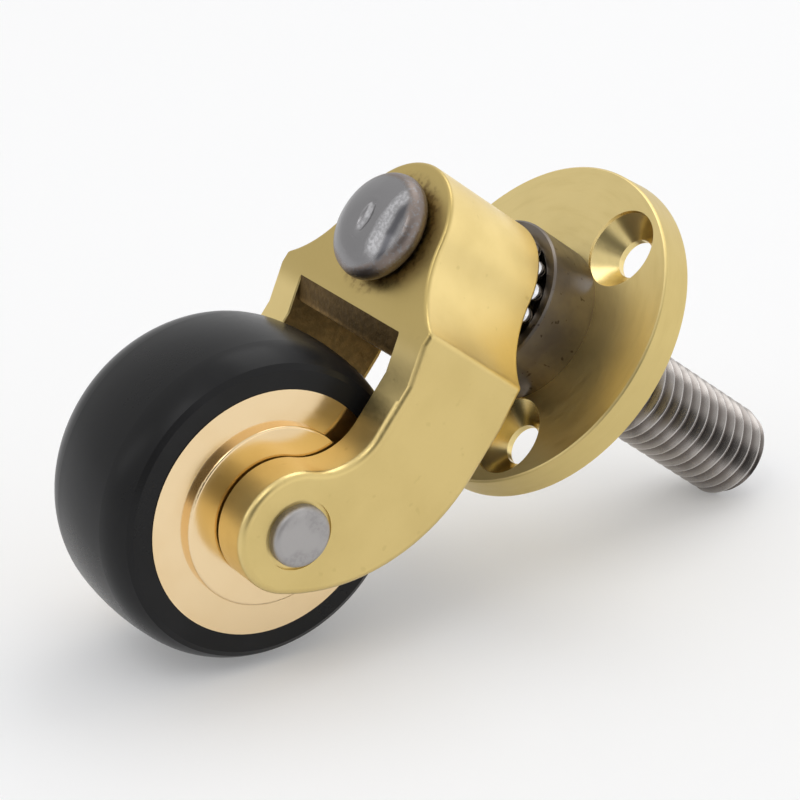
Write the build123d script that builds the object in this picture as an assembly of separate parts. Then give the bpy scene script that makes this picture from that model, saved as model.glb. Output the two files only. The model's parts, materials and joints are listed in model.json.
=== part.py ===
from build123d import *
import math
import os

# Stem castor: a brass fork and rubber-tyred wheel that swivel under a round screw plate.
# Millimetres. The origin is the centre of the plate's mounting face, +Z runs up the stem,
# the wheel trails towards +X and its axle lies along Y.

# Stem: one steel piece. From the tip down: thread, seat of plate and cup, journal and riveted head
stem_thread_r = 5.0
stem_length = 31.1
stem_tip_chamfer = 0.8
stem_seat_r = 5.25
stem_seat_length = 7.5
journal_r = 3.8
rivet_r = 5.5
rivet_rim_height = 2.5
rivet_crown_height = 0.85
rivet_neck_inset = 0.7
rivet_dimple_r = 1.2
rivet_dimple_depth = 0.35
rivet_crown_fullness = 0.8

# Mounting plate: a brass disc with a dished face and countersunk screw holes
plate_r = 17.5
plate_rim_taper = 0.3
plate_rim_thickness = 3.2
plate_seat_thickness = 3.0
plate_edge_chamfer = 0.2
screw_count = 3
screw_circle_r = 12.3
screw_hole_r = 2.05
screw_hole_land = 0.7
countersink_r = 4.05
first_screw_angle = 90.0

# Bearing cup and its ring of balls
cup_r = 8.4
cup_height = 6.1
cup_bore_r = 7.3
cup_lip = 0.45
cup_edge_chamfer = 0.2
bearing_gap = 1.25
ball_r = 1.1
ball_count = 16
ball_circle_r = 6.03
ball_seat_depth = 0.2

# Fork crown, which turns on the journal
crown_height = 13.2
nose_r = 7.58
flare_r = 11.05
flare_end_x = 6.4
crown_edge_r = 0.4

# Fork arms
arm_thickness = 4.25
arm_edge_r = 0.75
arm_back_r = 19.3
arm_neck_r = 6.0
arm_back_rise = 0.4
arm_back_rise_start_x = 6.9
arm_back_rise_end_x = 10.6
arm_rise = 1.1
arm_rise_start_x = 7.55
arm_rise_end_x = 11.5
axle_boss_r = 6.05
slot_mouth_x = 7.65
slot_sill_x = 9.9
slot_sill_rise = 1.3
slot_top_x = 9.95
slot_edge_chamfer = 0.12

# Wheel: where its axle is, the turned hub and the rubber tyre
trail = 28.25
axle_drop = 24.6
hub_r = 12.15
hub_half_width = 7.65
hub_flange_width = 0.8
hub_groove_depth = 1.2
hub_boss_r = 8.9
hub_boss_height = 0.9
hub_boss_round = 0.25
tyre_r = 16.0
tread_half_width = 4.15
tread_drop = 0.25
tyre_shoulder_half_width = 7.2
tyre_shoulder_drop = 1.45
tyre_wall_drop = 2.0
tyre_side_inset = 0.1

# Axle: a steel pin with peened ends
axle_r = 2.75
axle_end_r = 3.0
axle_end_height = 1.0
axle_end_round = 0.7
axle_recess_r = 3.45
axle_recess_depth = 0.25

# Clearances
journal_clearance = 0.05
axle_clearance = 0.05
ball_clearance = 0.12
rivet_gap = 0.2
hub_side_clearance = 0.25

# Millimetres within which two places count as one when edges are picked
edge_tolerance = 0.01

# Heights and places that follow from the sizes above
cup_top_z = -plate_seat_thickness
cup_rim_z = cup_top_z - cup_height
cup_floor_z = cup_rim_z + cup_lip
crown_top_z = cup_rim_z - bearing_gap
crown_bottom_z = crown_top_z - crown_height
ball_z = crown_top_z - ball_seat_depth + ball_r
race_r = ball_r + ball_clearance
rivet_top_z = crown_bottom_z - rivet_gap
slot_half_width = hub_half_width + hub_boss_height + hub_side_clearance
fork_half_width = slot_half_width + arm_thickness
axle_z = -axle_drop


def turned(*edges):
    """Solid of revolution about Z from an outline of radius and height."""
    return revolve(Plane.XZ * make_face(Wire(edges)), Axis.Z)


def path(*points):
    """Straight edges through points in turn, not closed."""
    return [Line(a, b) for a, b in zip(points, points[1:])]


def on_wheel_axis(solid):
    """Turn a solid made about Z onto the wheel's axle line."""
    return Pos(trail, 0, axle_z) * Rot(90, 0, 0) * solid


def ball_race():
    """Ring that a ball and its clearance sweep out round the swivel axis."""
    return Pos(0, 0, ball_z) * Torus(ball_circle_r, race_r)


def threaded_stem():
    rim_low_z = rivet_top_z - rivet_rim_height
    crown_low_z = rim_low_z - rivet_crown_height
    neck_r = rivet_r - rivet_neck_inset
    shoulder_z = -stem_seat_length
    shank = path(
        (0, stem_length),
        (stem_thread_r - stem_tip_chamfer, stem_length),
        (stem_thread_r, stem_length - stem_tip_chamfer),
        (stem_thread_r, 0),
        (stem_seat_r, 0),
        (stem_seat_r, shoulder_z),
        (journal_r, shoulder_z),
        (journal_r, rivet_top_z),
        (neck_r, rivet_top_z),
    )
    rim = ThreePointArc((neck_r, rivet_top_z), (rivet_r, (rivet_top_z + rim_low_z) / 2), (neck_r, rim_low_z))
    crown_mid_r = (neck_r + rivet_dimple_r) / 2
    crown = ThreePointArc(
        (neck_r, rim_low_z),
        (crown_mid_r, rim_low_z - rivet_crown_fullness * rivet_crown_height),
        (rivet_dimple_r, crown_low_z),
    )
    dimple_z = crown_low_z + rivet_dimple_depth
    dimple = Line((rivet_dimple_r, crown_low_z), (0, dimple_z))
    axis = Line((0, dimple_z), (0, stem_length))
    return turned(*shank, rim, crown, dimple, axis)


def screw_hole_cutter():
    """Through hole, its cone and the straight wall that the screw head sinks into."""
    cone_end_z = -screw_hole_land - (countersink_r - screw_hole_r)
    return turned(
        *path(
            (0, plate_rim_thickness),
            (screw_hole_r, plate_rim_thickness),
            (screw_hole_r, -screw_hole_land),
            (countersink_r, cone_end_z),
            (countersink_r, -2 * plate_rim_thickness),
            (0, -2 * plate_rim_thickness),
            (0, plate_rim_thickness),
        )
    )


def mounting_plate():
    face_r = plate_r - plate_rim_taper
    disc = turned(
        *path(
            (stem_seat_r, 0),
            (plate_r - plate_edge_chamfer, 0),
            (plate_r, -plate_edge_chamfer),
            (face_r, plate_edge_chamfer - plate_rim_thickness),
            (face_r - plate_edge_chamfer, -plate_rim_thickness),
            (cup_r, -plate_seat_thickness),
            (stem_seat_r, -plate_seat_thickness),
            (stem_seat_r, 0),
        )
    )
    holes = PolarLocations(screw_circle_r, screw_count, start_angle=first_screw_angle)
    return disc - [place * screw_hole_cutter() for place in holes]


def bearing_cup():
    cup = turned(
        *path(
            (stem_seat_r, cup_top_z),
            (cup_r, cup_top_z),
            (cup_r, cup_rim_z + cup_edge_chamfer),
            (cup_r - cup_edge_chamfer, cup_rim_z),
            (cup_bore_r, cup_rim_z),
            (cup_bore_r, cup_floor_z),
            (stem_seat_r, cup_floor_z),
            (stem_seat_r, cup_top_z),
        )
    )
    return cup - ball_race()


def bearing_balls():
    places = PolarLocations(ball_circle_r, ball_count)
    return [Pos(0, 0, ball_z) * place * Sphere(ball_r) for place in places]


def fork_plan():
    """Outline seen along the stem: a round nose that flares in two hollow flanks to the arms."""
    flare_end = Vector(flare_end_x, fork_half_width)
    centre_distance = nose_r + flare_r
    side = flare_end.length
    spread = math.acos((centre_distance**2 + side**2 - flare_r**2) / (2 * centre_distance * side))
    flare_angle = math.atan2(flare_end.Y, flare_end.X) + spread
    centre = Vector(math.cos(flare_angle), math.sin(flare_angle)) * centre_distance
    nose_end = centre * (nose_r / centre_distance)
    flare_mid = centre + ((flare_end + nose_end) / 2 - centre).normalized() * flare_r
    far_x = trail + 2 * axle_boss_r

    def mirrored(point):
        return Vector(point.X, -point.Y)

    edges = [
        ThreePointArc(nose_end, (-nose_r, 0), mirrored(nose_end)),
        ThreePointArc(mirrored(nose_end), mirrored(flare_mid), mirrored(flare_end)),
        *path(mirrored(flare_end), (far_x, -fork_half_width), (far_x, fork_half_width), flare_end),
        ThreePointArc(flare_end, flare_mid, nose_end),
    ]
    return make_face(Wire(edges))


def fork_side():
    """Outline seen along the axle: crown, swept arms and the round boss of the axle."""
    front_x = -2 * nose_r
    boss = Vector(trail, axle_z)
    arm_under_z = crown_bottom_z + arm_rise

    # Arc of the arm's back: it starts level and runs into the boss from outside
    arm_top_z = crown_top_z + arm_back_rise
    back_reach = arm_back_r - axle_boss_r
    back_z = arm_top_z - arm_back_r
    back_x = trail - math.sqrt(back_reach**2 - (axle_z - back_z) ** 2)
    back_centre = Vector(back_x, back_z)
    back_end = back_centre + (boss - back_centre).normalized() * arm_back_r
    back_start = Vector(back_x, arm_top_z)
    back_mid = back_centre + ((back_start + back_end) / 2 - back_centre).normalized() * arm_back_r

    # Arc of the neck: it leaves the arm's underside level and meets the boss in an S
    neck_reach = arm_neck_r + axle_boss_r
    neck_z = arm_under_z - arm_neck_r
    neck_x = trail - math.sqrt(neck_reach**2 - (axle_z - neck_z) ** 2)
    neck_centre = Vector(neck_x, neck_z)
    neck_end = neck_centre + (boss - neck_centre).normalized() * arm_neck_r
    neck_start = Vector(neck_x, arm_under_z)
    neck_mid = neck_centre + ((neck_start + neck_end) / 2 - neck_centre).normalized() * arm_neck_r

    around = ((back_end - boss).normalized() + (neck_end - boss).normalized()).normalized()
    boss_mid = boss - around * axle_boss_r
    if boss_mid.Y > axle_z:
        boss_mid = boss + around * axle_boss_r
    edges = [
        *path(
            (front_x, crown_bottom_z),
            (front_x, crown_top_z),
            (arm_back_rise_start_x, crown_top_z),
            (arm_back_rise_end_x, arm_top_z),
            back_start,
        ),
        ThreePointArc(back_start, back_mid, back_end),
        ThreePointArc(back_end, boss_mid, neck_end),
        ThreePointArc(neck_end, neck_mid, neck_start),
        *path(
            neck_start,
            (arm_rise_end_x, arm_under_z),
            (arm_rise_start_x, crown_bottom_z),
            (front_x, crown_bottom_z),
        ),
    ]
    return make_face(Wire(edges))


def wheel_slot():
    """Slot between the arms. Its end wall starts as a sloping sill at the crown's underside."""
    low_z = axle_z - 2 * axle_boss_r
    far_x = trail + 2 * axle_boss_r
    outline = path(
        (slot_mouth_x, low_z),
        (slot_mouth_x, crown_bottom_z),
        (slot_sill_x, crown_bottom_z + slot_sill_rise),
        (slot_top_x, crown_top_z),
        (slot_top_x, 0),
        (far_x, 0),
        (far_x, low_z),
        (slot_mouth_x, low_z),
    )
    face = Plane.XZ * make_face(Wire(outline))
    return extrude(face, amount=slot_half_width, both=True)


def on_outer_face(edge):
    """Whether an edge of the blank lies in the flat outer face of an arm."""
    return all(abs(abs((edge @ share).Y) - fork_half_width) < edge_tolerance for share in (0, 0.5, 1))


def round_the_crown(edge):
    """Whether an edge runs round the nose or a flank at the crown's top or bottom."""
    middle = edge @ 0.5
    level = any(abs(middle.Z - z) < edge_tolerance for z in (crown_top_z, crown_bottom_z))
    flat = abs((edge @ 0).Z - (edge @ 1).Z) < edge_tolerance
    curved = edge.geom_type == GeomType.CIRCLE
    return level and flat and curved


def along_the_slot(edge):
    """Whether an edge of the fork is an arm's inner edge, outside the slot's end wall."""
    places = [edge @ share for share in (0, 0.5, 1)]
    on_side_wall = all(abs(abs(place.Y) - slot_half_width) < edge_tolerance for place in places)
    return on_side_wall and max(place.X for place in places) > slot_top_x + edge_tolerance


def fork():
    plan = extrude(Pos(0, 0, axle_z - 2 * axle_boss_r) * fork_plan(), amount=axle_drop + 2 * axle_boss_r)
    side = extrude(Plane.XZ * fork_side(), amount=2 * fork_half_width, both=True)
    blank = plan & side
    blank = fillet(blank.edges().filter_by(on_outer_face), arm_edge_r)
    blank = fillet(blank.edges().filter_by(round_the_crown), crown_edge_r)
    journal_bore = Pos(0, 0, axle_z) * Cylinder(journal_r + journal_clearance, 4 * crown_height)
    axle_bore = Cylinder(axle_r, 3 * fork_half_width)
    recess_z = fork_half_width - axle_recess_depth / 2
    recess = Cylinder(axle_recess_r, axle_recess_depth)
    cuts = [wheel_slot(), journal_bore, ball_race(), on_wheel_axis(axle_bore)]
    cuts += [on_wheel_axis(Pos(0, 0, side_sign * recess_z) * recess) for side_sign in (-1, 1)]
    cut = blank - cuts
    return chamfer(cut.edges().filter_by(along_the_slot), slot_edge_chamfer)


def axle():
    seat_z = fork_half_width - axle_recess_depth
    shank = Cylinder(axle_r, 2 * seat_z)
    end_height = axle_end_height + axle_recess_depth
    end = Cylinder(axle_end_r, end_height)
    end = fillet(end.edges().filter_by(GeomType.CIRCLE).sort_by(Axis.Z)[-1], axle_end_round)
    end = Pos(0, 0, seat_z + end_height / 2) * end
    return on_wheel_axis(shank + end + mirror(end, Plane.XY))


def wheel_hub():
    groove_r = hub_r - hub_groove_depth
    flange_z = hub_half_width - hub_flange_width
    groove_z = flange_z - hub_groove_depth
    face_z = hub_half_width + hub_boss_height
    bore_r = axle_r + axle_clearance
    hub = turned(
        *path(
            (bore_r, -face_z),
            (hub_boss_r, -face_z),
            (hub_boss_r, -hub_half_width),
            (hub_r, -hub_half_width),
            (hub_r, -flange_z),
            (groove_r, -groove_z),
            (groove_r, groove_z),
            (hub_r, flange_z),
            (hub_r, hub_half_width),
            (hub_boss_r, hub_half_width),
            (hub_boss_r, face_z),
            (bore_r, face_z),
            (bore_r, -face_z),
        )
    )
    boss_rims = hub.edges().filter_by(
        lambda edge: abs(abs(edge.center().Z) - face_z) < edge_tolerance
        and abs(edge.radius - hub_boss_r) < edge_tolerance
    )
    return on_wheel_axis(fillet(boss_rims, hub_boss_round))


def tyre():
    """Rubber section: a nearly flat tread, round shoulders and walls down to the hub's flanges."""
    groove_r = hub_r - hub_groove_depth
    flange_z = hub_half_width - hub_flange_width
    groove_z = flange_z - hub_groove_depth
    side_z = hub_half_width - tyre_side_inset
    tread_edge_r = tyre_r - tread_drop
    shoulder_r = tyre_r - tyre_shoulder_drop
    wall_r = tyre_r - tyre_wall_drop
    tread = ThreePointArc((tread_edge_r, -tread_half_width), (tyre_r, 0), (tread_edge_r, tread_half_width))
    shoulders = [
        TangentArc(
            (tread_edge_r, side * tread_half_width),
            (shoulder_r, side * tyre_shoulder_half_width),
            tangent=(tread % end) * side,
        )
        for side, end in ((-1, 0), (1, 1))
    ]
    walls = path(
        (shoulder_r, tyre_shoulder_half_width),
        (wall_r, side_z),
        (hub_r, side_z),
        (hub_r, flange_z),
        (groove_r, groove_z),
        (groove_r, -groove_z),
        (hub_r, -flange_z),
        (hub_r, -side_z),
        (wall_r, -side_z),
        (shoulder_r, -tyre_shoulder_half_width),
    )
    return on_wheel_axis(turned(tread, *shoulders, *walls))


def write_parts():
    shapes = {
        "threaded_stem": threaded_stem(),
        "mounting_plate": mounting_plate(),
        "bearing_cup": bearing_cup(),
        "fork": fork(),
        "axle": axle(),
        "wheel_hub": wheel_hub(),
        "tyre": tyre(),
    }
    for number, ball in enumerate(bearing_balls(), start=1):
        shapes[f"ball_{number:02d}"] = ball
    os.makedirs("parts", exist_ok=True)
    for node, shape in shapes.items():
        export_step(shape, f"parts/{node}.step")


write_parts()
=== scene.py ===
"""Finishes, studio and fine detail of a brass stem castor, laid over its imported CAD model.

Everything is in metres in the model's own frame: the origin is the centre of the plate's mounting face,
+Z runs up the stem, the wheel trails towards +X and its axle lies along Y.
"""

import json
import logging
import math
from dataclasses import dataclass, field
from enum import Enum

import bmesh
import bpy
import numpy as np
from mathutils import Matrix, Vector


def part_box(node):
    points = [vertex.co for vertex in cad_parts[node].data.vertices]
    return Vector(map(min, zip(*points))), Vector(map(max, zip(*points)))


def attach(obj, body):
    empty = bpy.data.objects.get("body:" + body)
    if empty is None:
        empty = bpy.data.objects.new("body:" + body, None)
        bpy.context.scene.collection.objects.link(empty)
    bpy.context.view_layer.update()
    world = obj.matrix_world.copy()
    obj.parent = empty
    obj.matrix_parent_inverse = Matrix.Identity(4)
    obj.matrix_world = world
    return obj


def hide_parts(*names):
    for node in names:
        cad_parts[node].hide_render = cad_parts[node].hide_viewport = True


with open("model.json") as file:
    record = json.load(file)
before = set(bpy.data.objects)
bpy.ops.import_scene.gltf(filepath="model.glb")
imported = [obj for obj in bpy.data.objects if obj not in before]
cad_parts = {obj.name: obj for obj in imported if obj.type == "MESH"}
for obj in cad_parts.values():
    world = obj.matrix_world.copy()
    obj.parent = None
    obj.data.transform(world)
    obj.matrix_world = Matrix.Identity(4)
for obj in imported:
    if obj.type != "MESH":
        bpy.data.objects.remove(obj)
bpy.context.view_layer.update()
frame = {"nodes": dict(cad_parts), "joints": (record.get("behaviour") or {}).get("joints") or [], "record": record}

LOG = logging.getLogger("castor")
MM = 1e-3

Colour = tuple[float, float, float]
Point = tuple[float, float, float]
Span = tuple[float, float]

ORIGIN: Point = (0.0, 0.0, 0.0)


class Axis(Enum):
    """The two axes that things are turned about."""

    SWIVEL = "Z"
    AXLE = "Y"


# Shader arithmetic


class Value:
    """A float socket that takes part in Python arithmetic: each operator adds one Math node."""

    def __init__(self, graph: "Graph", socket: bpy.types.NodeSocket) -> None:
        """Wraps a socket.

        Args:
            graph: The node tree that the socket is in.
            socket: An output that gives one number.
        """
        self.graph = graph
        self.socket = socket

    def __add__(self, other: "Value | float") -> "Value":
        """Sum."""
        return self.graph.math("ADD", self, other)

    def __sub__(self, other: "Value | float") -> "Value":
        """Difference."""
        return self.graph.math("SUBTRACT", self, other)

    def __rsub__(self, other: float) -> "Value":
        """Difference, with the number first."""
        return self.graph.math("SUBTRACT", other, self)

    def __mul__(self, other: "Value | float") -> "Value":
        """Product."""
        return self.graph.math("MULTIPLY", self, other)

    def __truediv__(self, other: "Value | float") -> "Value":
        """Quotient."""
        return self.graph.math("DIVIDE", self, other)

    def __pow__(self, other: float) -> "Value":
        """Power."""
        return self.graph.math("POWER", self, other)

    __radd__ = __add__
    __rmul__ = __mul__

    def least(self, other: "Value | float") -> "Value":
        """The smaller of the two."""
        return self.graph.math("MINIMUM", self, other)

    def hypot(self, other: "Value") -> "Value":
        """Distance from zero of a point with these two coordinates: the root of the sum of squares."""
        return (self * self + other * other) ** 0.5

    def ramp(self, low: float, high: float) -> "Value":
        """Eases from 0 to 1, as t t (3 - 2 t), between two levels of the value.

        Args:
            low: The level that gives 0.
            high: The level that gives 1.

        Returns:
            The eased value.
        """
        node = self.graph.node(
            "ShaderNodeMapRange",
            {"interpolation_type": "SMOOTHSTEP"},
            {"Value": self, "From Min": low, "From Max": high},
        )
        return Value(self.graph, node.outputs["Result"])

    def fall(self, low: float, high: float) -> "Value":
        """Eases from 1 where the value is low to 0 where it is high."""
        return 1 - self.ramp(low, high)

    def band(self, low: float, high: float, soft: float) -> "Value":
        """1 between low and high, easing to 0 outside them over soft."""
        return self.ramp(low - soft, low) * self.fall(high, high + soft)


# What a shader socket can be given.
Given = Value | bpy.types.NodeSocket | Point | float


class Graph:
    """The node tree of a material or of the world."""

    WALL_SHARE = 0.7

    def __init__(self, tree: bpy.types.NodeTree) -> None:
        """Empties a tree and takes it over."""
        self.tree = tree
        tree.nodes.clear()

    def node(self, kind: str, settings: dict | None = None, inputs: dict | None = None) -> bpy.types.Node:
        """Adds a node.

        Args:
            kind: The node's type name.
            settings: Its properties, by name.
            inputs: What its sockets get, by name or number: a Value, a socket or a constant.

        Returns:
            The node.
        """
        made = self.tree.nodes.new(kind)
        for name, setting in (settings or {}).items():
            setattr(made, name, setting)
        for name, given in (inputs or {}).items():
            self.feed(made.inputs[name], given)
        return made

    def feed(self, socket: bpy.types.NodeSocket, given: Given) -> None:
        """Links a socket to what it is given, or sets its constant.

        Args:
            socket: An input.
            given: A value, another node's output or a constant.
        """
        if isinstance(given, Value):
            self.tree.links.new(given.socket, socket)
        elif isinstance(given, bpy.types.NodeSocket):
            self.tree.links.new(given, socket)
        elif isinstance(given, tuple) and socket.type == "RGBA":
            socket.default_value = (*given, 1.0)
        else:
            socket.default_value = given

    def math(self, operation: str, *operands: Value | float) -> Value:
        """Adds a Math node and returns its result."""
        node = self.node("ShaderNodeMath", {"operation": operation}, dict(enumerate(operands)))
        return Value(self, node.outputs[0])

    def vector(self, operation: str, *operands: bpy.types.NodeSocket | Point) -> bpy.types.NodeSocket:
        """Adds a Vector Math node and returns its vector."""
        node = self.node("ShaderNodeVectorMath", {"operation": operation}, dict(enumerate(operands)))
        return node.outputs["Vector"]

    def measure(self, operation: str, *operands: bpy.types.NodeSocket | Point) -> Value:
        """Adds a Vector Math node and returns its number, such as a length or a dot product."""
        node = self.node("ShaderNodeVectorMath", {"operation": operation}, dict(enumerate(operands)))
        return Value(self, node.outputs["Value"])

    def place(self) -> bpy.types.NodeSocket:
        """The point on the piece, in metres in the piece's own frame."""
        return self.node("ShaderNodeTexCoord").outputs["Object"]

    def axes(self, vector: bpy.types.NodeSocket) -> tuple[Value, Value, Value]:
        """The three numbers of a vector."""
        node = self.node("ShaderNodeSeparateXYZ", None, {0: vector})
        return tuple(Value(self, node.outputs[index]) for index in range(3))

    def combine(self, x: Value | float, y: Value | float, z: Value | float) -> bpy.types.NodeSocket:
        """The vector of three numbers."""
        return self.node("ShaderNodeCombineXYZ", None, {0: x, 1: y, 2: z}).outputs[0]

    def noise(self, vector: bpy.types.NodeSocket, scale: float, detail: float) -> Value:
        """Smooth noise from about 0.3 to 0.7, with features of one over scale."""
        node = self.node("ShaderNodeTexNoise", None, {"Vector": vector, "Scale": scale, "Detail": detail})
        return Value(self, node.outputs["Fac"])

    def mix(
        self,
        share: Value | float,
        first: bpy.types.NodeSocket | Colour,
        second: bpy.types.NodeSocket | Colour,
    ) -> bpy.types.NodeSocket:
        """Mixes two colours.

        Args:
            share: 0 for the first colour, 1 for the second.
            first: A colour.
            second: A colour.

        Returns:
            The mixed colour.
        """
        node = self.node("ShaderNodeMix", {"data_type": "RGBA"})
        given = {"Factor_Float": share, "A_Color": first, "B_Color": second}
        for socket in node.inputs:
            if socket.identifier in given:
                self.feed(socket, given[socket.identifier])
        return next(socket for socket in node.outputs if socket.identifier == "Result_Color")

    def bump(
        self, height: Value, depth: float, strength: float, under: bpy.types.NodeSocket | None = None
    ) -> bpy.types.NodeSocket:
        """Tilts the surface's normal as a relief would.

        Args:
            height: The relief, from 0 to 1.
            depth: What a height of 1 stands for, in metres.
            strength: How much of the relief shows.
            under: A normal that the relief is laid over.

        Returns:
            The normal.
        """
        inputs = {"Height": height, "Distance": depth, "Strength": strength}
        if under is not None:
            inputs["Normal"] = under
        return self.node("ShaderNodeBump", None, inputs).outputs["Normal"]

    def lathe_marks(self, axis: Axis, centre: Point, spacing: float, breaks: float) -> Value:
        """Noise drawn out into rings about an axis, as a tool or an abrasive leaves them.

        The noise is read at (cos a, sin a) times breaks, with a the angle round the axis, and at the way
        across the rings: the radius plus a share of the height, so that both faces and walls have rings.

        Args:
            axis: The axis that the piece was turned about.
            centre: A point on it.
            spacing: Distance between rings, in metres.
            breaks: How often a ring changes on its way round.

        Returns:
            The noise.
        """
        x, y, z = self.axes(self.vector("SUBTRACT", self.place(), centre))
        first, second, along = (x, y, z) if axis is Axis.SWIVEL else (x, z, y)
        radius = first.hypot(second)
        across = (radius + along * self.WALL_SHARE) / spacing
        return self.noise(self.combine(first / radius * breaks, second / radius * breaks, across), 1.0, 2)


# Finishes


def shaded(colour: Colour, share: float) -> Colour:
    """A colour made lighter or darker: each of its parts times share."""
    return tuple(share * part for part in colour)


@dataclass(frozen=True)
class Patches:
    """Patches where smooth noise is high.

    They are about one over scale across, in metres, and ease in over a span of the noise. The share is how
    much of their own colour they bring.
    """

    scale: float
    detail: float
    span: Span
    share: float = 1.0

    def value(self, graph: Graph) -> Value:
        """1 in the patches and 0 between them."""
        return graph.noise(graph.place(), self.scale, self.detail).ramp(*self.span)


@dataclass(frozen=True)
class Finish:
    """What a surface is made of and how it was worked."""

    name: str
    colour: Colour
    roughness: float
    metallic: float = 1.0
    anisotropic: float = 0.0
    gloss: float = 0.5

    def material(self) -> bpy.types.Material:
        """Makes the material.

        Returns:
            A new material with this finish's nodes.
        """
        made = bpy.data.materials.new(self.name)
        made.use_nodes = True
        graph = Graph(made.node_tree)
        constants = {"Base Color": self.colour, "Roughness": self.roughness, "Metallic": self.metallic}
        constants |= {"Anisotropic": self.anisotropic, "Specular IOR Level": self.gloss}
        inputs = constants | self.work(graph)
        shader = graph.node("ShaderNodeBsdfPrincipled", None, inputs)
        graph.node("ShaderNodeOutputMaterial", None, {"Surface": shader.outputs[0]})
        return made

    def work(self, graph: Graph) -> dict[str, Given]:
        """The shader inputs that change over the surface, by name.

        Args:
            graph: The material's node tree.

        Returns:
            What the shader's inputs get, by name.
        """
        raise NotImplementedError


@dataclass(frozen=True)
class CastBrass(Finish):
    """Satin brass of the fork: cast, tumbled and lightly brushed, with painted shade making it dull brown inside
    the wheel slot.
    """

    tarnish: Colour = (0.52, 0.39, 0.14)
    clouds: Patches = Patches(scale=160, detail=3, span=(0.35, 0.75), share=0.22)
    pits: Patches = Patches(scale=900, detail=1, span=(0.70, 0.78), share=0.25)
    underside_share: float = 0.85
    outer_share: float = 0.45
    sill_share: float = 0.6
    half_width: float = 13.05 * MM
    # Painted shade: the dark brown of the slot's end wall and of the ring round the rivet head.
    painted_shade_brown: Colour = (0.19, 0.12, 0.045)
    slot_wall_x: float = 7.66 * MM
    slot_sill_x: Span = (9.4 * MM, 9.8 * MM)
    slot_half_width: float = 8.79 * MM
    slot_top_z: float = -10.4 * MM
    slot_fade_x: Span = (16.0 * MM, 21.0 * MM)
    edge: float = 0.05 * MM
    crown_low_z: float = -23.55 * MM
    underside_edge: float = 0.6 * MM
    rivet_r: float = 5.5 * MM
    grime_and_shade_width: float = 1.3 * MM
    grime_and_shade_height: float = 0.2 * MM
    outer_depth: float = 0.6 * MM
    arm_start_x: float = 6.0 * MM
    arm_end_x: float = 13.2 * MM
    arm_rise: float = 1.1 * MM
    slope_edge: float = 0.01 * MM
    slope_top: Span = (1.2, 1.4)
    looks_down: Span = (0.84, 0.94)

    def arm_normal(self, graph: Graph, x: Value, z: Value) -> bpy.types.NodeSocket:
        """The surface's normal, eased where the crown's underside rises to the arms.

        A smooth step from level to level over the width w has the slope 6 t (1 - t) rise / w, with t from 0
        to 1. It shows only on faces that look down and lie no more than a little above the slope.

        Args:
            graph: The material's node tree.
            x: The point's place along the fork.
            z: The point's height.

        Returns:
            The normal in world space.
        """
        own = graph.node("ShaderNodeTexCoord").outputs["Normal"]
        _, _, up = graph.axes(own)
        width = self.arm_end_x - self.arm_start_x
        share = ((x - self.arm_start_x) / width).least(1.0)
        slope = share * (1 - share) * (6 * self.arm_rise / width)
        eased = graph.vector("NORMALIZE", graph.combine(slope, 0.0, -1.0))
        top = (self.crown_low_z + rises * self.arm_rise for rises in self.slope_top)
        near = x.band(self.arm_start_x, self.arm_end_x, self.slope_edge) * z.fall(*top)
        near = near * (0 - up).ramp(*self.looks_down)
        change = graph.vector("SUBTRACT", eased, own)
        blend = graph.vector("MULTIPLY_ADD", change, graph.combine(near, near, near), own)
        settings = {"vector_type": "NORMAL", "convert_from": "OBJECT", "convert_to": "WORLD"}
        return graph.node("ShaderNodeVectorTransform", settings, {"Vector": blend}).outputs[0]

    def work(self, graph: Graph) -> dict[str, Given]:
        """Cloudy tarnish, fine pits, tarnish and painted shade on the crown's underside, painted shade with
        speckled dirt round the rivet and painted shade on the slot's rough brown end wall.

        Args:
            graph: The material's node tree.

        Returns:
            What the shader's inputs get, by name.
        """
        place = graph.place()
        x, y, z = graph.axes(place)
        side = graph.math("ABSOLUTE", y)
        in_slot = x.ramp(self.slot_wall_x, self.slot_wall_x + self.edge) * x.fall(*self.slot_fade_x)
        in_slot = in_slot * side.fall(self.slot_half_width, self.slot_half_width + self.edge)
        in_slot = in_slot * z.fall(self.slot_top_z, self.slot_top_z + self.edge)
        grain = graph.noise(place, scale=2600, detail=2)
        scale = graph.noise(place, scale=1400, detail=4)
        clouds = self.clouds.value(graph)
        pits = self.pits.value(graph)
        colour = graph.mix(clouds * self.clouds.share, self.colour, self.tarnish)
        colour = graph.mix(pits * self.pits.share, colour, self.tarnish)
        # The crown's underside is made darker, towards the tarnish colour: tarnish, and painted shade for the
        # face's darker look.
        underside = z.fall(self.crown_low_z + self.edge, self.crown_low_z + self.underside_edge)
        underside = underside * x.fall(self.arm_start_x, self.arm_end_x)
        colour = graph.mix(underside * self.underside_share, colour, self.tarnish)
        # Painted shade with speckled dirt, in a ring round the rivet head on the crown's underside.
        grime_and_shade = x.hypot(y).fall(self.rivet_r, self.rivet_r + self.grime_and_shade_width)
        grime_and_shade = grime_and_shade * z.fall(self.crown_low_z + self.edge, self.crown_low_z + self.grime_and_shade_height)
        colour = graph.mix(grime_and_shade * (0.2 + scale.ramp(0.45, 0.62) * 0.5), colour, self.painted_shade_brown)
        # The arms' outer faces are made darker, towards the tarnish colour.
        outer_face = side.ramp(self.half_width - self.outer_depth, self.half_width - self.edge)
        colour = graph.mix(outer_face * self.outer_share, colour, self.tarnish)
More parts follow.
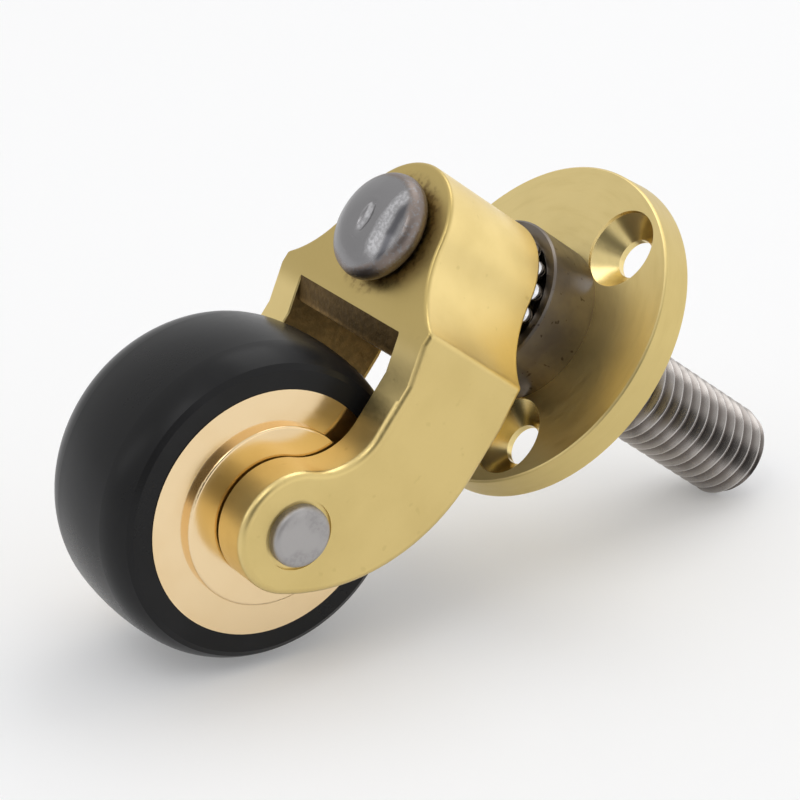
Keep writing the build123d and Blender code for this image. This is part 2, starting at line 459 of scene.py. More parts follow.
        # Painted shade on the slot's end wall, speckled lighter and darker, with a darker painted shadow on its
        # part nearest the slot's end.
        wall = graph.mix(scale.ramp(0.4, 0.7), self.painted_shade_brown, shaded(self.painted_shade_brown, 1.5))
        sill = x.fall(*self.slot_sill_x) * self.sill_share
        wall = graph.mix(sill, wall, shaded(self.painted_shade_brown, 0.3))
        colour = graph.mix(in_slot, colour, wall)
        roughness = self.roughness + (grain - 0.5) * 0.16 + clouds * 0.05 + in_slot * 0.22
        normal = self.arm_normal(graph, x, z)
        normal = graph.bump(grain - pits * 1.5, depth=0.004 * MM, strength=0.8, under=normal)
        normal = graph.bump(scale * in_slot, depth=0.10 * MM, strength=0.8, under=normal)
        return {"Base Color": colour, "Roughness": roughness, "Normal": normal}


@dataclass(frozen=True)
class SpunBrass(Finish):
    """Brass brushed in circles on the lathe, with brightly cut countersinks."""

    tarnish: Colour = (0.52, 0.40, 0.15)
    clouds: Patches = Patches(scale=130, detail=3, span=(0.35, 0.75), share=0.2)
    streak_share: float = 0.15
    rim_share: float = 0.6
    cut_roughness: float = 0.24
    screw_circle_r: float = 12.3 * MM
    countersink_r: Span = (4.03 * MM, 4.08 * MM)
    mounting_face_z: Span = (-0.10 * MM, -0.05 * MM)
    screw_angles: tuple[float, ...] = (90.0, 210.0, 330.0)
    cut_ring_scale: float = 6000.0
    rim_r: float = 17.15 * MM

    def work(self, graph: Graph) -> dict[str, Given]:
        """Rings of fine scratches round the stem, and finer ones round each screw hole.

        Args:
            graph: The material's node tree.

        Returns:
            What the shader's inputs get, by name.
        """
        x, y, z = graph.axes(graph.place())
        flat = graph.combine(x, y, 0.0)
        hole = None
        for degrees in self.screw_angles:
            turn = math.radians(degrees)
            centre = (self.screw_circle_r * math.cos(turn), self.screw_circle_r * math.sin(turn), 0.0)
            distance = graph.measure("DISTANCE", flat, centre)
            hole = distance if hole is None else hole.least(distance)
        in_cut = hole.fall(*self.countersink_r) * z.fall(*self.mounting_face_z)
        scratches = graph.lathe_marks(Axis.SWIVEL, ORIGIN, spacing=0.10 * MM, breaks=9)
        streaks = graph.lathe_marks(Axis.SWIVEL, ORIGIN, spacing=0.9 * MM, breaks=3)
        cut_rings = graph.noise(graph.combine(hole, z * 0.5, 0.0), self.cut_ring_scale, 1)
        colour = graph.mix(self.clouds.value(graph) * self.clouds.share, self.colour, self.tarnish)
        colour = graph.mix(streaks.ramp(0.45, 0.8) * self.streak_share, colour, self.tarnish)
        # Darker in a narrow band at the rim, towards the tarnish colour.
        rim = x.hypot(y).ramp(self.rim_r - 0.1 * MM, self.rim_r)
        colour = graph.mix(rim * self.rim_share, colour, self.tarnish)
        brushed = self.roughness + (streaks - 0.5) * 0.14 + (scratches - 0.5) * 0.24
        roughness = brushed * (1 - in_cut) + in_cut * self.cut_roughness
        normal = graph.bump(scratches * (1 - in_cut), depth=0.012 * MM, strength=0.8)
        normal = graph.bump(cut_rings * in_cut, depth=0.006 * MM, strength=0.6, under=normal)
        return {"Base Color": colour, "Roughness": roughness, "Normal": normal}


@dataclass(frozen=True)
class PolishedBrass(Finish):
    """Brass of the hub: turned on the lathe, then polished."""

    tarnish: Colour = (0.70, 0.46, 0.20)
    clouds: Patches = Patches(scale=190, detail=2, span=(0.4, 0.75), share=0.18)
    centre: Point = ORIGIN

    def work(self, graph: Graph) -> dict[str, Given]:
        """Faint turning rings about the axle.

        Args:
            graph: The material's node tree.

        Returns:
            What the shader's inputs get, by name.
        """
        rings = graph.lathe_marks(Axis.AXLE, self.centre, spacing=0.25 * MM, breaks=2)
        bands = graph.lathe_marks(Axis.AXLE, self.centre, spacing=1.4 * MM, breaks=1)
        colour = graph.mix(self.clouds.value(graph) * self.clouds.share, self.colour, self.tarnish)
        roughness = self.roughness + (bands - 0.5) * 0.12 + (rings - 0.5) * 0.05
        normal = graph.bump(rings, depth=0.003 * MM, strength=0.5)
        return {"Base Color": colour, "Roughness": roughness, "Normal": normal}


@dataclass(frozen=True)
class MouldedRubber(Finish):
    """Black rubber of the tyre, with the satin skin of its mould."""

    metallic: float = 0.0
    gloss: float = 0.17
    dust: Colour = (0.06, 0.06, 0.065)
    dust_share: float = 0.12
    centre: Point = ORIGIN

    def work(self, graph: Graph) -> dict[str, Given]:
        """A fine skin, faint turned rings of the mould and a trace of dust.

        Args:
            graph: The material's node tree.

        Returns:
            What the shader's inputs get, by name.
        """
        skin = graph.noise(graph.place(), scale=1800, detail=3)
        rings = graph.lathe_marks(Axis.AXLE, self.centre, spacing=0.4 * MM, breaks=1)
        clouds = graph.noise(graph.place(), scale=110, detail=3)
        colour = graph.mix(clouds.ramp(0.45, 0.8) * self.dust_share, self.colour, self.dust)
        roughness = self.roughness + (clouds - 0.5) * 0.2 + (skin - 0.5) * 0.06
        normal = graph.bump(skin * 0.4 + rings * 0.6, depth=0.004 * MM, strength=0.5)
        return {"Base Color": colour, "Roughness": roughness, "Normal": normal}


@dataclass(frozen=True)
class RolledSteel(Finish):
    """Steel of the thread: brown oil with painted shade in the roots, and crests worn bright with a painted
    highlight.
    """

    root_oil_and_shade: Colour = (0.12, 0.10, 0.09)
    crest_wear_and_highlight: Colour = (0.62, 0.59, 0.57)
    stains: Patches = Patches(scale=420, detail=3, span=(0.4, 0.75), share=0.3)
    root_share: float = 0.8
    crest_share: float = 0.6
    crest_r: float = 4.93 * MM
    root_r: float = 4.40 * MM

    def work(self, graph: Graph) -> dict[str, Given]:
        """Colour by depth in the thread, and marks that run along its turns.

        Args:
            graph: The material's node tree.

        Returns:
            What the shader's inputs get, by name.
        """
        x, y, _ = graph.axes(graph.place())
        radius = x.hypot(y)
        depth = radius.fall(self.root_r, self.crest_r)
        crest = radius.ramp(self.crest_r, self.crest_r + 0.04 * MM)
        marks = graph.lathe_marks(Axis.SWIVEL, ORIGIN, spacing=0.12 * MM, breaks=3)
        stains = self.stains.value(graph)
        # Oil and painted shade darken the thread towards its roots.
        colour = graph.mix(depth * self.root_share, self.colour, self.root_oil_and_shade)
        colour = graph.mix(stains * self.stains.share, colour, self.root_oil_and_shade)
        # Crests lightened: wear with a painted highlight.
        colour = graph.mix(crest * self.crest_share, colour, self.crest_wear_and_highlight)
        roughness = self.roughness + (marks - 0.5) * 0.2 + stains * 0.1
        normal = graph.bump(marks, depth=0.008 * MM, strength=0.6)
        return {"Base Color": colour, "Roughness": roughness, "Normal": normal}


@dataclass(frozen=True)
class PeenedSteel(Finish):
    """Steel that was spread by hammering: smooth where the tool slid, speckled where it struck."""

    hollow: Colour = (0.12, 0.115, 0.12)
    hollow_share: float = 0.15
    struck: Patches = Patches(scale=210, detail=2, span=(0.46, 0.58))

    def work(self, graph: Graph) -> dict[str, Given]:
        """Speckles in patches, with darker hollows between them.

        Args:
            graph: The material's node tree.

        Returns:
            What the shader's inputs get, by name.
        """
        speckle = graph.noise(graph.place(), scale=2800, detail=3)
        struck = self.struck.value(graph)
        hollows = speckle.fall(0.40, 0.56) * struck
        colour = graph.mix(hollows * self.hollow_share, self.colour, self.hollow)
        roughness = self.roughness + (speckle - 0.5) * 0.1 + struck * 0.10
        normal = graph.bump(speckle * (0.12 + struck * 0.88), depth=0.02 * MM, strength=0.7)
        return {"Base Color": colour, "Roughness": roughness, "Normal": normal}


@dataclass(frozen=True)
class HammeredHead(Finish):
    """Steel of the rivet head: smooth and grey, with a worn stripe under a painted highlight, a painted shade
    stripe and a rough brown rim.
    """

    rubbed_and_highlight: Colour = (0.60, 0.595, 0.61)
    shade: Colour = (0.09, 0.09, 0.10)
    rim_colour: Colour = (0.24, 0.20, 0.18)
    wander: float = 1.2 * MM
    shade_share: float = 0.85
    rubbed_and_highlight_y: Span = (2.5 * MM, 3.0 * MM)
    rubbed_and_highlight_x: Span = (-3.4 * MM, 2.2 * MM)
    shade_y: Span = (3.85 * MM, 4.05 * MM)
    dimple_x: Span = (-1.0 * MM, 1.0 * MM)
    dimple_y: Span = (0.0, 0.35 * MM)
    rim_r: Span = (4.55 * MM, 5.05 * MM)

    def work(self, graph: Graph) -> dict[str, Given]:
        """A worn stripe under a painted highlight, a painted shade stripe beside it, a painted highlight in the
        dimple and a rough, wandering rim.

        Args:
            graph: The material's node tree.

        Returns:
            What the shader's inputs get, by name.
        """
        place = graph.place()
        x, y, _ = graph.axes(place)
        wander = (graph.noise(place, scale=260, detail=4) - 0.5) * self.wander
        aside = wander - y
        speckle = graph.noise(place, scale=3000, detail=3)
        rim = (x.hypot(y) + wander).ramp(*self.rim_r)
        # Painted highlight in the dimple and on the worn stripe; painted shade on the dark stripe beyond it.
        dimple = x.band(*self.dimple_x, 0.6 * MM) * y.band(*self.dimple_y, 0.25 * MM)
        stripe = aside.band(*self.rubbed_and_highlight_y, 0.7 * MM) * (1 - rim) * x.band(*self.rubbed_and_highlight_x, 1.2 * MM)
        rubbed_and_highlight = (stripe + dimple * 0.9).least(1.0)
        shade = aside.band(*self.shade_y, 0.5 * MM) * (1 - rim)
        rough = (rubbed_and_highlight + rim).least(1.0)
        colour = graph.mix(rubbed_and_highlight * (0.3 + speckle.ramp(0.35, 0.65) * 0.6), self.colour, self.rubbed_and_highlight)
        colour = graph.mix(shade * self.shade_share, colour, self.shade)
        colour = graph.mix(rim * (1 - speckle.ramp(0.5, 0.66) * 0.8), colour, self.rim_colour)
        roughness = self.roughness + rough * 0.18 + (speckle - 0.5) * 0.08
        normal = graph.bump(speckle * (0.08 + rough * 0.92), depth=0.035 * MM, strength=0.8)
        return {"Base Color": colour, "Roughness": roughness, "Normal": normal}


@dataclass(frozen=True)
class TurnedSteel(Finish):
    """Dark turned steel with tool marks round the stem and small rust pits."""

    pit_colour: Colour = (0.05, 0.035, 0.028)
    pits: Patches = Patches(scale=1500, detail=1, span=(0.70, 0.76), share=0.8)
    stains: Patches = Patches(scale=240, detail=3, span=(0.35, 0.7), share=0.45)

    def work(self, graph: Graph) -> dict[str, Given]:
        """Tool marks about the swivel axis, stains and pits.

        Args:
            graph: The material's node tree.

        Returns:
            What the shader's inputs get, by name.
        """
        marks = graph.lathe_marks(Axis.SWIVEL, ORIGIN, spacing=0.2 * MM, breaks=1.5)
        pits = self.pits.value(graph)
        stains = self.stains.value(graph)
        colour = graph.mix(stains * self.stains.share, self.colour, self.pit_colour)
        colour = graph.mix(pits * self.pits.share, colour, self.pit_colour)
        roughness = self.roughness + (marks - 0.5) * 0.16 + stains * 0.12
        normal = graph.bump(marks - pits * 1.5, depth=0.006 * MM, strength=0.6)
        return {"Base Color": colour, "Roughness": roughness, "Normal": normal}


@dataclass(frozen=True)
class BallSteel(Finish):
    """Mirror-bright bearing steel under a film of grease."""

    grease: Colour = (0.42, 0.38, 0.30)
    film: Patches = Patches(scale=700, detail=2, span=(0.5, 0.7), share=0.4)

    def work(self, graph: Graph) -> dict[str, Given]:
        """Patches of grease dull the polish a little.

        Args:
            graph: The material's node tree.

        Returns:
            What the shader's inputs get, by name.
        """
        film = self.film.value(graph)
        colour = graph.mix(film * self.film.share, self.colour, self.grease)
        return {"Base Color": colour, "Roughness": self.roughness + film * 0.12}


# Mesh building

# Vertices that lie closer than this many metres are one.
MERGE_DISTANCE = 1e-7
# The shallowest hammer mark's share of the deepest.
SHALLOWEST = 0.4


def turned(radius: np.ndarray, angle: np.ndarray, height: np.ndarray) -> np.ndarray:
    """Points about the Z axis: x = radius cos angle, y = radius sin angle, z = height.

    Args:
        radius: Distance from the axis, as rows by one or by columns.
        angle: One row of angles, in radians.
        height: Place along the axis, as rows by one or by columns.

    Returns:
        An array of rows by columns by x, y, z.
    """
    return np.stack([radius * np.cos(angle), radius * np.sin(angle), height + 0 * angle], -1)


def soften(profile: np.ndarray) -> np.ndarray:
    """Moves each inner point of a profile halfway to its neighbours' middle.

    Args:
        profile: One row of radius and height per point.

    Returns:
        The softened profile.
    """
    softened = profile.copy()
    softened[1:-1] = 0.5 * profile[1:-1] + 0.25 * (profile[:-2] + profile[2:])
    return softened


def grid_faces(rows: int, columns: int, climb: int = 0) -> np.ndarray:
    """Quads of a grid that closes on itself across its columns.

    The last column meets the first one climb rows further up, held at the first row, so that a helix closes
    too.

    Args:
        rows: Vertices down the grid.
        columns: Vertices round the grid.
        climb: How many rows one turn climbs.

    Returns:
        One row of four vertex numbers per face.
    """
    row = np.arange(rows - 1)[:, None]
    column = np.arange(columns)[None, :]
    after = (column + 1) % columns
    closes = after == 0
    upper = np.where(closes, np.maximum(row - climb, 0), row) * columns + after
    lower = np.where(closes, np.maximum(row + 1 - climb, 0), row + 1) * columns + after
    corners = [row * columns + column, upper, lower, (row + 1) * columns + column]
    return np.stack(corners, -1).reshape(-1, 4)


def mesh_object(name: str, points: np.ndarray, faces: np.ndarray, sharp_angle: float) -> bpy.types.Object:
    """Makes a closed, smooth-shaded mesh object with its place in its mesh.

    Args:
        name: The piece's name.
        points: Vertices, one row of x, y, z in metres each.
        faces: Quads, one row of vertex numbers each.
        sharp_angle: Edges that turn by more than this many degrees stay sharp.

    Returns:
        The object, linked to the scene.
    """
    mesh = bpy.data.meshes.new(name)
    mesh.from_pydata(points.tolist(), [], faces.tolist())
    work = bmesh.new()
    work.from_mesh(mesh)
    bmesh.ops.remove_doubles(work, verts=work.verts, dist=MERGE_DISTANCE)
    bmesh.ops.dissolve_degenerate(work, edges=work.edges, dist=MERGE_DISTANCE / 10)
    bmesh.ops.recalc_face_normals(work, faces=work.faces)
    work.to_mesh(mesh)
    work.free()
    mesh.polygons.foreach_set("use_smooth", np.ones(len(mesh.polygons), bool))
    mesh.set_sharp_from_angle(angle=math.radians(sharp_angle))
    made = bpy.data.objects.new(name, mesh)
    bpy.context.scene.collection.objects.link(made)
    return made


def arc(start: Span, middle: Span, end: Span, count: int) -> np.ndarray:
    """Points on the circle through three points: its centre is equally far from all of them.

    Args:
        start: First point, as radius and height.
        middle: A point that the arc passes.
        end: Last point.
        count: How many points to give, ends included.

    Returns:
        One row of radius and height per point.
    """
    a, b, c = (np.array(point) for point in (start, middle, end))
    sides = 2 * np.stack([b - a, c - a])
    centre = np.linalg.solve(sides, [b @ b - a @ a, c @ c - a @ a])
    reach = np.linalg.norm(a - centre)
    first, mid, last = (math.atan2(*(point - centre)[::-1]) for point in (a, b, c))
    sweep = (last - first) % (2 * math.pi)
    if (mid - first) % (2 * math.pi) > sweep:
        sweep -= 2 * math.pi
    angles = first + np.linspace(0, sweep, count)
    return centre + reach * np.stack([np.cos(angles), np.sin(angles)], -1)


def lumps(points: np.ndarray, seed: int, count: int, spread: float, depth: float) -> np.ndarray:
    """Height of hammer marks at each point: the deepest of the bell curves about seeded centres.

    A mark is depth exp(-(gap / spread)^2) deep at a gap from its centre, which is one of the points. Its
    own depth is drawn between SHALLOWEST times the greatest and the greatest.

    Args:
        points: One row of x, y, z per point.
        seed: Seed of the marks' places and depths.
        count: How many marks.
        spread: Radius of a mark, in metres.
        depth: Greatest depth of a mark, in metres.

    Returns:
        One height per point, zero or less.
    """
    chance = np.random.default_rng(seed)
    centres = points[chance.integers(0, len(points), count)]
    depths = depth * chance.uniform(SHALLOWEST, 1.0, count)
    gaps = np.linalg.norm(points[:, None, :] - centres[None, :, :], axis=-1)
    return -(depths * np.exp(-((gaps / spread) ** 2))).max(axis=1)


# Sub-assemblies


@dataclass
class Stem:
    """One steel piece: rolled thread, seat, journal and hammered rivet head."""

    thread_r: float
    pitch: float = 1.5 * MM
    crest_share: float = 0.06
    root_share: float = 0.12
    depth_share: float = 0.42
    tip_chamfer: float = 0.8 * MM
    runout: float = 1.2 * MM
    seat_r: float = 5.25 * MM
    seat_length: float = 7.5 * MM
    journal_r: float = 3.8 * MM
    rivet_r: float = 5.5 * MM
    rivet_top_z: float = -23.75 * MM
    rivet_rim_height: float = 2.5 * MM
    rivet_crown_height: float = 0.85 * MM
    rivet_crown_bulge: float = 0.8
    rivet_neck_inset: float = 0.7 * MM
    rivet_dimple_r: float = 1.2 * MM
    rivet_dimple_depth: float = 0.35 * MM
    rim_rows: int = 22
    crown_rows: int = 20
    dimple_rows: int = 12
    dimple_stretch: float = 0.45
    dimple_squeeze: float = 0.30
    dent_seed: int = 7
    dent_count: int = 30
    dent_spread: float = 1.4 * MM
    dent_depth: float = 0.07 * MM
    dent_rise: float = 0.6
    undented_height: float = 0.3 * MM
    columns: int = 120
    turn_rows: int = 20
    sharp_angle: float = 38.0
    thread_steel: Finish = RolledSteel("thread_steel", (0.38, 0.355, 0.335), roughness=0.23)
    rivet_steel: Finish = HammeredHead("rivet_steel", (0.27, 0.265, 0.27), roughness=0.24)

    def thread_points(self, low_z: float, high_z: float) -> np.ndarray:
        """Points of the thread, from its tip down to its seat.

        The rows follow the helix: row i of column angle a stands at (i / rows per turn + a / full turn)
        pitches, and its radius falls along a straight flank from the crest to the root by its phase in the
        turn. Heights are held between the ends, where the tip's cone and the runout limit the depth.

        Args:
            low_z: Where the thread starts above the seat.
            high_z: The stem's tip.

        Returns:
            An array of rows by columns by x, y, z.
        """
        turns = math.ceil((high_z - low_z) / self.pitch) + 2
        step = np.arange(turns * self.turn_rows, -1, -1)[:, None] / self.turn_rows
        angle = self.column_angles()
        free_z = low_z + (step - 1 + angle / (2 * math.pi)) * self.pitch
        z = np.clip(free_z, low_z, high_z)
        phase = ((z - low_z) / self.pitch - angle / (2 * math.pi)) % 1.0
        off_crest = np.abs(phase - np.round(phase)) - self.crest_share / 2
        flank = np.clip(off_crest / (0.5 - (self.crest_share + self.root_share) / 2), 0, 1)
        depth = self.depth_share * self.pitch * flank
        depth *= np.clip((z - low_z) / self.runout, 0, 1)
        envelope = self.thread_r - np.clip(z - (high_z - self.tip_chamfer), 0, None)
        return turned(np.minimum(self.thread_r - depth, envelope), angle, z)

    def column_angles(self) -> np.ndarray:
        """The angle of each column of vertices, in one row."""
        return np.linspace(0, 2 * math.pi, self.columns, endpoint=False)[None, :]

    def shank_profile(self) -> np.ndarray:
        """Outline of the plain stem below the thread, down to the centre of the dimple.

        The rivet's rim and crown are arcs, and its dimple is a bowl, depth (1 - (r / radius)^2) deep at r.

        Returns:
            One row of radius and height per point.
        """
        rim_low_z = self.rivet_top_z - self.rivet_rim_height
        crown_low_z = rim_low_z - self.rivet_crown_height
        neck_r = self.rivet_r - self.rivet_neck_inset
        rim_mid_z = (self.rivet_top_z + rim_low_z) / 2
        crown_mid_z = rim_low_z - self.rivet_crown_bulge * self.rivet_crown_height
        crown_mid = ((neck_r + self.rivet_dimple_r) / 2, crown_mid_z)
        straight = [
            (self.seat_r, 0.0),
            (self.seat_r, -self.seat_length),
            (self.journal_r, -self.seat_length),
            (self.journal_r, self.rivet_top_z),
        ]
        rim_top = (neck_r, self.rivet_top_z)
        rim_low = (neck_r, rim_low_z)
        rim = arc(rim_top, (self.rivet_r, rim_mid_z), rim_low, self.rim_rows)
        crown = arc(rim_low, crown_mid, (self.rivet_dimple_r, crown_low_z), self.crown_rows)
        dimple_r = np.linspace(self.rivet_dimple_r, 0, self.dimple_rows)[1:]
        bowl = self.rivet_dimple_depth * (1 - (dimple_r / self.rivet_dimple_r) ** 2)
        dimple = np.stack([dimple_r, crown_low_z + bowl], -1)
        return np.concatenate([straight, rim, soften(crown), dimple])

    def hammer(self, points: np.ndarray) -> np.ndarray:
        """Works the rivet head: a dimple longer than wide, and dents all over.

        The dimple's points move out along X and in along Y by a share that eases to none, as t t (3 - 2 t),
        between one and two times the dimple's radius. A dent moves a point in towards the axis and up.

        Args:
            points: The head's points, one row of x, y, z each.

        Returns:
            The points where they lie afterwards.
        """
        away = np.clip(np.hypot(points[:, 0], points[:, 1]) / self.rivet_dimple_r - 1, 0, 1)
        near = 1 - away**2 * (3 - 2 * away)
        worked = points.copy()
        worked[:, 0] *= 1 + self.dimple_stretch * near
        worked[:, 1] *= 1 - self.dimple_squeeze * near
        dents = lumps(worked, self.dent_seed, self.dent_count, self.dent_spread, self.dent_depth)
        worked[:, :2] *= (1 + dents / self.rivet_r)[:, None]
        worked[:, 2] -= dents * self.dent_rise
        return worked

    def build(self) -> bpy.types.Object:
        """Makes the mesh: thread rows, then rows turned from the shank's profile, closed at both ends.

        Returns:
            The stem.
        """
        _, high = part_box("threaded_stem")
        thread = self.thread_points(0.0, high.z)
        profile = self.shank_profile()
        shank = turned(profile[:, :1], self.column_angles(), profile[:, 1:])
        tip = np.zeros((1, self.columns, 3))
        tip[..., 2] = high.z
        points = np.concatenate([tip, thread, shank]).reshape(-1, 3)
        tip_faces = grid_faces(2, self.columns)
        thread_faces = grid_faces(len(thread), self.columns, self.turn_rows) + self.columns
        shank_faces = grid_faces(len(shank) + 1, self.columns) + len(thread) * self.columns
        faces = np.concatenate([tip_faces, thread_faces, shank_faces])
        head = points[:, 2] < self.rivet_top_z - self.undented_height
        points[head] = self.hammer(points[head])
        made = mesh_object("stem", points, faces, self.sharp_angle)
        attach(made, "plate")
        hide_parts("threaded_stem")
        return made

    def dress(self, stem: bpy.types.Object) -> None:
        """Gives the thread and shank one steel and the rivet head another.

        Args:
            stem: What build made.
        """
        stem.data.materials.append(self.thread_steel.material())
        stem.data.materials.append(self.rivet_steel.material())
        centres = np.zeros(len(stem.data.polygons) * 3)
        stem.data.polygons.foreach_get("center", centres)
        on_head = centres[2::3] < self.rivet_top_z + self.undented_height / 3
        stem.data.polygons.foreach_set("material_index", on_head.astype(np.int32))


@dataclass
class DressedNodes:
    """CAD pieces whose form stays as it is and that only get a finish."""

    nodes: list[str]
    finish: Finish

    def dress(self) -> None:
        """Puts one new material on every node."""
        material = self.finish.material()
        for name in self.nodes:
            data = frame["nodes"][name].data
            data.materials.clear()
            data.materials.append(material)
            LOG.info("%s: %s", name, self.finish.name)


# Studio


@dataclass
class Camera:
    """The photograph's viewpoint in the castor's own frame, as fitted to the castor's outlines in it.

    It looks down on the castor as it lies on its side, so the frame's Z axis isn't the picture's way up.
    """

    position: Vector = field(default_factory=lambda: Vector((0.010435, -0.209684, -0.183796)))
    right: Vector = field(default_factory=lambda: Vector((-0.51774, -0.53826, 0.66500)))
    forward: Vector = field(default_factory=lambda: Vector((0.01003, 0.77342, 0.63382)))
    frame_width: float = 36.0
    focal_pixels: float = 2784.7
    picture_pixels: float = 800.0
    clip: Span = (0.01, 20.0)

    def up(self) -> Vector:
        """The picture's upward direction."""
        return self.right.cross(self.forward).normalized()

    def build(self) -> None:
        """Makes the camera and sets it as the scene's."""
        data = bpy.data.cameras.new("camera")
        data.sensor_width = self.frame_width
        data.lens = self.focal_pixels / self.picture_pixels * self.frame_width
        data.clip_start, data.clip_end = self.clip
        made = bpy.data.objects.new("camera", data)
        turn = Matrix([self.right, self.up(), -self.forward]).transposed()
        made.matrix_world = Matrix.Translation(self.position) @ turn.to_4x4()
        bpy.context.scene.collection.objects.link(made)
        bpy.context.scene.camera = made


@dataclass
class Table:
    """A pale table top that the castor lies on, touching its tyre and the tip of its stem."""

    camera: Camera
    reach: float = 3.0
    tilt_span: Span = (10.0, 45.0)
    halvings: int = 30
    colour: Colour = (0.74, 0.74, 0.745)
    glow: float = 0.2

    def normal(self, tilt: float) -> Vector:
        """The table's upward direction if the camera looks down on it by tilt radians."""
        return self.camera.up() * math.cos(tilt) - self.camera.forward * math.sin(tilt)

    def support(self, node: str, normal: Vector) -> float:
        """How high the lowest point of a CAD node lies along a direction.

        Args:
            node: The node's name.
            normal: The direction, one metre long.

        Returns:
            The height in metres.
        """
        vertices = frame["nodes"][node].data.vertices
        places = np.empty(len(vertices) * 3)
        vertices.foreach_get("co", places)
        return float((places.reshape(-1, 3) @ np.array(normal)).min())

    def settle(self) -> tuple[Vector, float]:
        """Halves the span of tilts, in degrees, until the tyre and the stem's tip lie equally low.

        Returns:
            The table's upward direction and its height along it.
        """
        low, high = map(math.radians, self.tilt_span)
        for _ in range(self.halvings):
            tilt = (low + high) / 2
            normal = self.normal(tilt)
            stem_is_lower = self.support("threaded_stem", normal) < self.support("tyre", normal)
            low, high = (low, tilt) if stem_is_lower else (tilt, high)
        return normal, self.support("tyre", normal)

    def build(self) -> Vector:
        """Makes the table top as stage.

        Returns:
            The table's upward direction.
        """
        normal, height = self.settle()
        along = self.camera.right
        across = normal.cross(along).normalized()
        centre = normal * height
        square = ((-1, -1), (1, -1), (1, 1), (-1, 1))
        corners = [centre + along * (i * self.reach) + across * (j * self.reach) for i, j in square]
        mesh = bpy.data.meshes.new("table")
        mesh.from_pydata([tuple(corner) for corner in corners], [], [(0, 1, 2, 3)])
        made = bpy.data.objects.new("table", mesh)
        bpy.context.scene.collection.objects.link(made)
        if mesh.polygons[0].normal.dot(normal) < 0:
            mesh.flip_normals()
        mesh.materials.append(self.surface())
        return normal

    def surface(self) -> bpy.types.Material:
        """Matt and pale with a faint glow, and clear from below, so that it blocks no view from there.

        Returns:
            The table top's material.
        """
        made = bpy.data.materials.new("table_top")
        made.use_nodes = True
        graph = Graph(made.node_tree)
        matt = graph.node("ShaderNodeBsdfDiffuse", None, {"Color": self.colour}).outputs[0]
        path = graph.node("ShaderNodeLightPath")
        kinds = ("Camera", "Glossy", "Transmission")
        shown = sum((Value(graph, path.outputs[f"Is {kind} Ray"]) for kind in kinds), 0.0)
        glow = graph.node("ShaderNodeEmission", None, {"Strength": shown.least(1.0) * self.glow}).outputs[0]
        matt = graph.node("ShaderNodeAddShader", None, {0: matt, 1: glow}).outputs[0]
        clear = graph.node("ShaderNodeBsdfTransparent").outputs[0]
        below = Value(graph, graph.node("ShaderNodeNewGeometry").outputs["Backfacing"])
        mixed = graph.node("ShaderNodeMixShader", None, {0: below, 1: matt, 2: clear})
        graph.node("ShaderNodeOutputMaterial", None, {"Surface": mixed.outputs[0]})
        return made


@dataclass(frozen=True)
class Lamp:
    """A soft rectangular lamp that faces the castor.

    Its place from there and its size are in metres and its power is in watts.
    """

    name: str
    right: float
    up: float
    front: float
    width: float
    height: float
    power: float


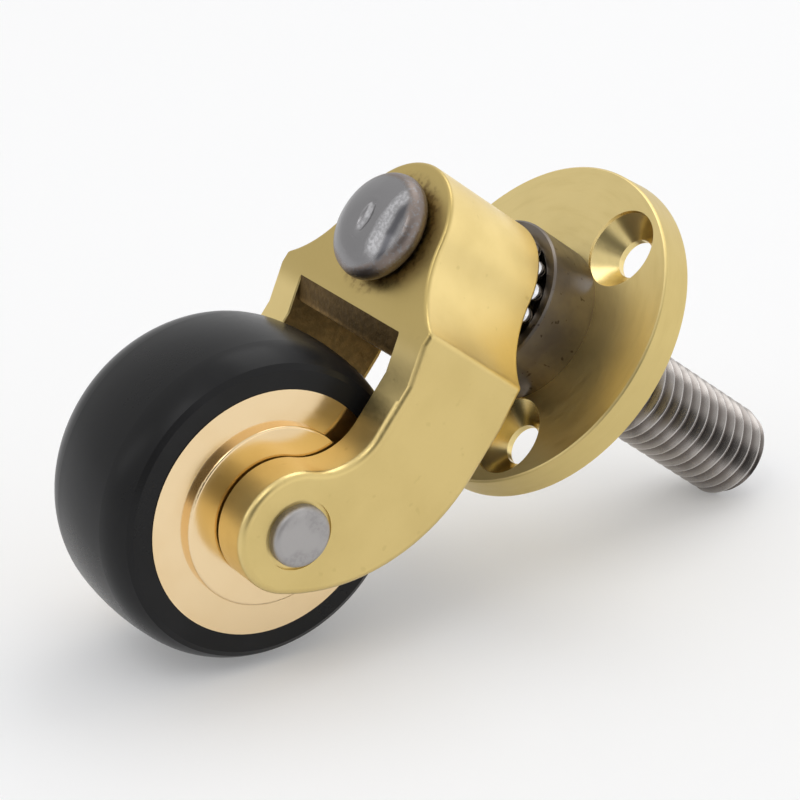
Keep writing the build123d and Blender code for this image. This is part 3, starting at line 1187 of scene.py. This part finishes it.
@dataclass
class Studio:
    """A white tent over the table, with a dark gap where the camera looks in and a few soft lamps."""

    camera: Camera
    up: Vector
    target: Vector = field(default_factory=lambda: Vector((0.014, 0.0, -0.010)))
    zenith: float = 0.85
    left_wall: float = 0.70
    right_wall: float = 1.20
    side_span: Span = (-0.8, 0.8)
    rise_span: Span = (0.0, 0.95)
    gap_span: Span = (0.82, 0.97)
    gap_darkness: float = 0.85
    backdrop: float = 0.93
    lamps: tuple[Lamp, ...] = (
        Lamp("top_lamp", right=0.15, up=0.55, front=-0.25, width=0.45, height=0.30, power=0.7),
        Lamp("front_lamp", right=-0.15, up=0.50, front=0.30, width=0.26, height=0.15, power=0.3),
        Lamp("left_lamp", right=-0.60, up=0.30, front=0.20, width=0.15, height=0.40, power=0.2),
    )

    def build(self) -> None:
        """Makes the lamps and the tent's glow."""
        right = self.camera.right
        front = right.cross(self.up).normalized()
        for lamp in self.lamps:
            data = bpy.data.lights.new(lamp.name, "AREA")
            data.shape = "RECTANGLE"
            data.size = lamp.width
            data.size_y = lamp.height
            data.energy = lamp.power
            made = bpy.data.objects.new(lamp.name, data)
            offset = right * lamp.right + self.up * lamp.up + front * lamp.front
            turn = offset.to_track_quat("Z", "Y").to_matrix().to_4x4()
            made.matrix_world = Matrix.Translation(self.target + offset) @ turn
            bpy.context.scene.collection.objects.link(made)
        self.build_world()

    def build_world(self) -> None:
        """The tent: bright overhead and on the right, dark round the camera, plain and pale to the camera.

        Each span is of the cosine of the angle between a direction and up, right or the camera.
        """
        world = bpy.data.worlds.new("studio")
        bpy.context.scene.world = world
        world.use_nodes = True
        graph = Graph(world.node_tree)
        direction = graph.node("ShaderNodeTexCoord").outputs["Generated"]
        rise = graph.measure("DOT_PRODUCT", direction, tuple(self.up)).ramp(*self.rise_span)
        side = graph.measure("DOT_PRODUCT", direction, tuple(self.camera.right)).ramp(*self.side_span)
        gap = graph.measure("DOT_PRODUCT", direction, tuple(-self.camera.forward)).ramp(*self.gap_span)
        wall = self.left_wall + side * (self.right_wall - self.left_wall)
        glow = wall + rise * (self.zenith - wall)
        glow = glow * (1 - gap * self.gap_darkness)
        seen = Value(graph, graph.node("ShaderNodeLightPath").outputs["Is Camera Ray"])
        strength = glow * (1 - seen) + seen * self.backdrop
        white = (1.0, 1.0, 1.0)
        background = graph.node("ShaderNodeBackground", None, {"Color": white, "Strength": strength})
        graph.node("ShaderNodeOutputWorld", None, {"Surface": background.outputs[0]})


def wheel_centre() -> Point:
    """The axle's place, from the wheel's joint."""
    spin = next(joint for joint in frame["joints"] if joint["name"] == "wheel_spin")
    return tuple(spin["pos_m"])


def thread_radius() -> float:
    """The thread's outside radius, from the stem's mount."""
    stem = next(mount for mount in frame["record"]["mounts"] if mount["name"] == "stem")
    return stem["dims"]["r_mm"] * MM


def main() -> None:
    """Builds and dresses every piece, then the studio."""
    logging.basicConfig(level=logging.INFO, format="%(name)s: %(message)s")
    bpy.context.scene.view_settings.view_transform = "Standard"
    centre = wheel_centre()
    stem = Stem(thread_radius())
    stem.dress(stem.build())
    LOG.info("stem: thread and rivet head")
    fork = CastBrass("fork_brass", (0.84, 0.66, 0.29), roughness=0.33)
    plate = SpunBrass("plate_brass", (0.80, 0.64, 0.29), roughness=0.40, anisotropic=0.45)
    hub = PolishedBrass("hub_brass", (0.88, 0.68, 0.41), roughness=0.17, centre=centre)
    tyre = MouldedRubber("tyre_rubber", (0.012, 0.012, 0.0125), roughness=0.30, centre=centre)
    cup = TurnedSteel("cup_steel", (0.19, 0.165, 0.14), roughness=0.34)
    axle = PeenedSteel("axle_steel", (0.43, 0.415, 0.41), roughness=0.50)
    ball = BallSteel("ball_steel", (0.80, 0.80, 0.82), roughness=0.07)
    balls = sorted(name for name in frame["nodes"] if name.startswith("ball_"))
    dressed = (
        DressedNodes(["fork"], fork),
        DressedNodes(["mounting_plate"], plate),
        DressedNodes(["wheel_hub"], hub),
        DressedNodes(["tyre"], tyre),
        DressedNodes(["bearing_cup"], cup),
        DressedNodes(["axle"], axle),
        DressedNodes(balls, ball),
    )
    for group in dressed:
        group.dress()
    camera = Camera()
    camera.build()
    up = Table(camera).build()
    Studio(camera, up).build()


if __name__ == "__main__":
    main()
